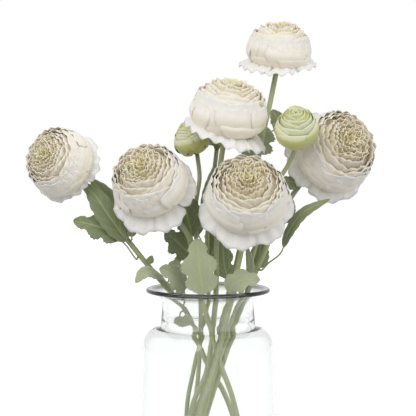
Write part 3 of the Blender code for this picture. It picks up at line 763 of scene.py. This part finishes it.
def stem_routes():
    """Each stem's whole route and radius, with its top under its flower."""
    stems = {}
    for flowers, profile, radius, gaps in (
            (BLOOMS, BLOOM_PROFILE, BLOOM_STEM, 2), (BUDS, BUD_PROFILE, BUD_STEM, 1)):
        for name, flower in flowers.items():
            place = Place(flower, profile)
            guard = PETAL_THICKNESS if gaps == 2 else 0
            end = place.point(0, 0, -gaps * GAP - guard - SEPAL_THICKNESS - HUB_DEPTH - GAP)
            stems[name] = (even_route(stem_points(name, end, place.axis), STEM_RINGS), radius)
    return stems


class MakeOperator(bpy.types.Operator):
    """What the makers share"""
    bl_options = {"REGISTER", "UNDO"}


class FLOWERS_OT_vase(MakeOperator):
    """Makes the glass vase, turned from its section"""
    bl_idname = "flowers.vase"
    bl_label = "Vase"

    def execute(self, context):
        s = settings()
        profile = vase_profile()
        fine = []
        for (r0, z0), (r1, z1) in zip(profile, profile[1:]):
            steps = max(1, int(math.hypot(r1 - r0, z1 - z0) / VASE_STEP))
            fine += [(r0 + (r1 - r0) * k / steps, z0 + (z1 - z0) * k / steps) for k in range(steps)]
        fine.append(profile[-1])
        angle = np.linspace(0, 2 * math.pi, VASE_SIDES, endpoint=False)
        radius, height = (np.array(x)[:, None] for x in zip(*fine))
        points = np.stack([radius * np.cos(angle), radius * np.sin(angle), height + 0 * angle], -1)
        # The lip is coloured grey-green: partly the glass's own cast, partly painted shade for the dark
        # studio seen in it.
        lip = np.clip((height + 0 * angle - LIP_TINT_AND_SHADE_FROM) / LIP_TINT_AND_SHADE_SPAN, 0, 1)
        sheet = Sheet()
        sheet.add_grid(points, mixed(tuple(s.glass), tuple(s.lip), lip), points * 20, closed=True)
        sheet.finish("glass_vase", blown_glass(), "vase_glass", ["vase"], 0)
        return {"FINISHED"}


class FLOWERS_OT_blooms(MakeOperator):
    """Makes the open blooms: wrap petals round a crimped heart, guard petals and calyx"""
    bl_idname = "flowers.blooms"
    bl_label = "Blooms"

    def execute(self, context):
        s = settings()
        # Fresh petal: thin waxy tissue, satin with faint lengthwise veins.
        petal = surface("ranunculus_petal_tissue", 0.55, 0.04, 0.2, 0.15)
        # Sepal: leathery and mottled, matt.
        calyx = surface("sepal_tissue", 0.60, 0.20, 0.5, 0.1)
        palette = [tuple(c) for c in (s.ivory, s.heart, s.depth, s.guard)]
        for name, flower in BLOOMS.items():
            place, sheet = bloom_petals(name, flower, palette)
            sheet.finish("wrap_petals_" + name, petal, "petal_ivory", ["petals_" + name], s.petal_thickness)
            rng = random.Random("guard " + name)
            pale = (tuple(s.ivory), tuple(s.guard))
            skirt = Sheet()
            for i in range(GUARD_PETALS):
                angle = 2 * math.pi * i / GUARD_PETALS + rng.uniform(-0.15, 0.15)
                guard_petal(skirt, rng, place, flower, angle, GUARD_HALF_ANGLE, pale)
            skirt.finish("skirt_" + name, petal, "petal_white", ["guard_petals_" + name], s.petal_thickness)
            self.calyx(name, flower, place, calyx, rng, s)
        return {"FINISHED"}

    def calyx(self, name, flower, place, material, rng, s):
        cup = Sheet()
        for i in range(SEPALS):
            angle = 2 * math.pi * i / SEPALS + rng.uniform(-0.2, 0.2)
            amount, towards = flower["lean"]
            rise = flower["rise"] - amount * math.cos(angle - math.radians(towards)) - 0.05
            sepal(cup, rng, place, SEPAL_REACH * place.radius, angle, rise, (tuple(s.sepal), tuple(s.rust)))
        hub(cup, place, HUB_RADIUS, -1.2 * MM, 2 * GAP + PETAL_THICKNESS + SEPAL_THICKNESS + HUB_DEPTH, s)
        cup.finish("calyx_" + name, material, "sepal_olive", ["sepals_" + name], SEPAL_SHEET)


def hub(sheet, place, radius, top, depth, s):
    """The green seat of the petals, which narrows to the stem."""
    steps = 8
    route = [place.point(0, 0, top - (depth + top) * i / (steps - 1)) for i in range(steps)]
    radii = [radius * (1 - 0.42 * (i / (steps - 1)) ** 1.5) for i in range(steps)]
    tube(sheet, route, radii, np.array(tuple(s.sepal)) * 1.1)


class FLOWERS_OT_buds(MakeOperator):
    """Makes the closed buds in their cupped calyxes"""
    bl_idname = "flowers.buds"
    bl_label = "Buds"

    def execute(self, context):
        s = settings()
        # Young petal: tight and waxy, a little glossier than an open one.
        petal = surface("bud_petal_tissue", 0.50, 0.05, 0.2, 0.1)
        calyx = surface("bud_sepal_tissue", 0.60, 0.20, 0.5, 0.1)
        for name, flower in BUDS.items():
            place, sheet = bud_petals(name, flower, (tuple(s.bud), tuple(s.crevice_shade)))
            sheet.finish("wrap_petals_" + name, petal, "petal_bud", ["petals_" + name], s.petal_thickness)
            rng = random.Random("calyx " + name)
            cup = Sheet()
            for i in range(SEPALS):
                sepal(cup, rng, place, BUD_SEPAL_REACH * place.radius, 2 * math.pi * i / SEPALS,
                      BUD_SEPAL_RISE, (tuple(s.sepal), tuple(s.rust)))
            hub(cup, place, BUD_HUB_RADIUS, -0.5 * MM, GAP + SEPAL_THICKNESS + HUB_DEPTH, s)
            cup.finish("calyx_" + name, calyx, "sepal_olive", ["sepals_" + name], SEPAL_SHEET)
        return {"FINISHED"}


class FLOWERS_OT_stems(MakeOperator):
    """Makes the round stems"""
    bl_idname = "flowers.stems"
    bl_label = "Stems"

    def execute(self, context):
        # Fresh stem: ribbed green skin, satin.
        skin = surface("fresh_stem_skin", 0.50, 0.25, 0.5)
        for name, (route, radius) in stem_routes().items():
            fine = even_route(route, STEM_POINTS)
            sheet = Sheet()
            tube(sheet, fine, [radius] * len(fine), np.array(tuple(settings().stem)))
            sheet.finish("skin_" + name, skin, "stem_green", ["stem_" + name], 0)
        return {"FINISHED"}


class FLOWERS_OT_leaves(MakeOperator):
    """Makes the leaves with their petioles"""
    bl_idname = "flowers.leaves"
    bl_label = "Leaves"

    def execute(self, context):
        s = settings()
        # Leaf blade: matt, finely pitted cuticle; the sage ones have a felt of short hairs.
        green = surface("leaf_cuticle", 0.60, 0.18, 0.6, 0.1)
        felt = surface("felted_leaf", 0.80, 0.14, 0.8, 0.4)
        stems = stem_routes()
        for name in LEAVES:
            pale = is_pale(name)
            blade = tuple(s.sage if pale else s.leaf)
            leaf_piece(name, stems, felt if pale else green, (blade, tuple(s.vein)), s.leaf_thickness)
        return {"FINISHED"}


# ---------------------------------------------------------------- stage


class FLOWERS_OT_stage(MakeOperator):
    """Makes the pale floor, the soft lights and the camera"""
    bl_idname = "flowers.stage"
    bl_label = "Stage"

    def execute(self, context):
        scene = bpy.context.scene
        scene.view_settings.view_transform = "Standard"
        self.world(scene)
        self.floor(scene)
        for name, place, power, size in LAMPS:
            light = bpy.data.lights.new(name, "AREA")
            light.energy, light.size = power, size
            lamp = bpy.data.objects.new(name, light)
            lamp.location = place
            lamp.rotation_euler = (Vector((0, 0, 0.3)) - lamp.location).to_track_quat("-Z", "Y").to_euler()
            scene.collection.objects.link(lamp)
        camera = bpy.data.objects.new("camera", bpy.data.cameras.new("camera"))
        camera.data.lens = CAMERA_LENS
        camera.data.sensor_width = CAMERA_SENSOR
        camera.location = CAMERA_PLACE
        camera.rotation_euler = (math.radians(90 - CAMERA_DOWN), 0, 0)
        scene.collection.objects.link(camera)
        scene.camera = camera
        return {"FINISHED"}

    def seen(self, tree):
        """1 for a ray from the camera, a reflection or through glass, which then meets plain white."""
        rays = add(tree, "ShaderNodeLightPath")
        first = add(tree, "ShaderNodeMath", {"operation": "MAXIMUM"},
                    {0: rays.outputs["Is Camera Ray"], 1: rays.outputs["Is Glossy Ray"]})
        return add(tree, "ShaderNodeMath", {"operation": "MAXIMUM"},
                   {0: first.outputs[0], 1: rays.outputs["Is Transmission Ray"]}).outputs[0]

    def world(self, scene):
        world = bpy.data.worlds.new("studio")
        world.use_nodes = True
        tree = world.node_tree
        back = tree.nodes["Background"]
        level = add(tree, "ShaderNodeMapRange", {"To Min": WORLD_LEVEL, "To Max": 1.0},
                    {"Value": self.seen(tree)})
        back.inputs["Color"].default_value = (1, 1, 1, 1)
        tree.links.new(level.outputs["Result"], back.inputs["Strength"])
        scene.world = world

    def floor(self, scene):
        mesh = bpy.data.meshes.new("floor")
        corners = [(x * FLOOR_HALF, y * FLOOR_HALF, 0) for x, y in ((-1, -1), (1, -1), (1, 1), (-1, 1))]
        mesh.from_pydata(corners, [], [(0, 1, 2, 3)])
        floor = bpy.data.objects.new("floor", mesh)
        # White paper: matt, with no gloss, so that only the shadow shows on it.
        material = bpy.data.materials.new("matt_white_paper")
        material.use_nodes = True
        tree = material.node_tree
        shader = tree.nodes["Principled BSDF"]
        shader.inputs["Base Color"].default_value = (FLOOR_GREY, FLOOR_GREY, FLOOR_GREY, 1)
        shader.inputs["Roughness"].default_value = 1
        shader.inputs["Specular IOR Level"].default_value = 0
        shader.inputs["Emission Color"].default_value = (1, 1, 1, 1)
        glow = add(tree, "ShaderNodeMath", {"operation": "MULTIPLY", 1: FLOOR_GLOW}, {0: self.seen(tree)})
        tree.links.new(glow.outputs[0], shader.inputs["Emission Strength"])
        mesh.materials.append(material)
        scene.collection.objects.link(floor)


OPERATORS = (FLOWERS_OT_vase, FLOWERS_OT_stems, FLOWERS_OT_blooms, FLOWERS_OT_buds, FLOWERS_OT_leaves,
             FLOWERS_OT_stage)


class FLOWERS_PT_panel(bpy.types.Panel):
    """Lists the makers of the flowers' pieces"""
    bl_idname = "FLOWERS_PT_panel"
    bl_label = "Flowers"
    bl_space_type = "VIEW_3D"
    bl_region_type = "UI"
    bl_category = "Flowers"

    def draw(self, context):
        for maker in OPERATORS:
            self.layout.operator(maker.bl_idname)
        for name in FlowerSettings.__annotations__:
            self.layout.prop(settings(), name)


def register():
    for one in (FlowerSettings, *OPERATORS, FLOWERS_PT_panel):
        bpy.utils.register_class(one)
    bpy.types.Scene.flower_settings = bpy.props.PointerProperty(type=FlowerSettings)


def unregister():
    del bpy.types.Scene.flower_settings
    for one in reversed((FlowerSettings, *OPERATORS, FLOWERS_PT_panel)):
        bpy.utils.unregister_class(one)


def main():
    register()
    bpy.ops.flowers.vase()
    bpy.ops.flowers.stems()
    bpy.ops.flowers.blooms()
    bpy.ops.flowers.buds()
    bpy.ops.flowers.leaves()
    bpy.ops.flowers.stage()
    bpy.context.view_layer.update()


if __name__ == "__main__":
    main()
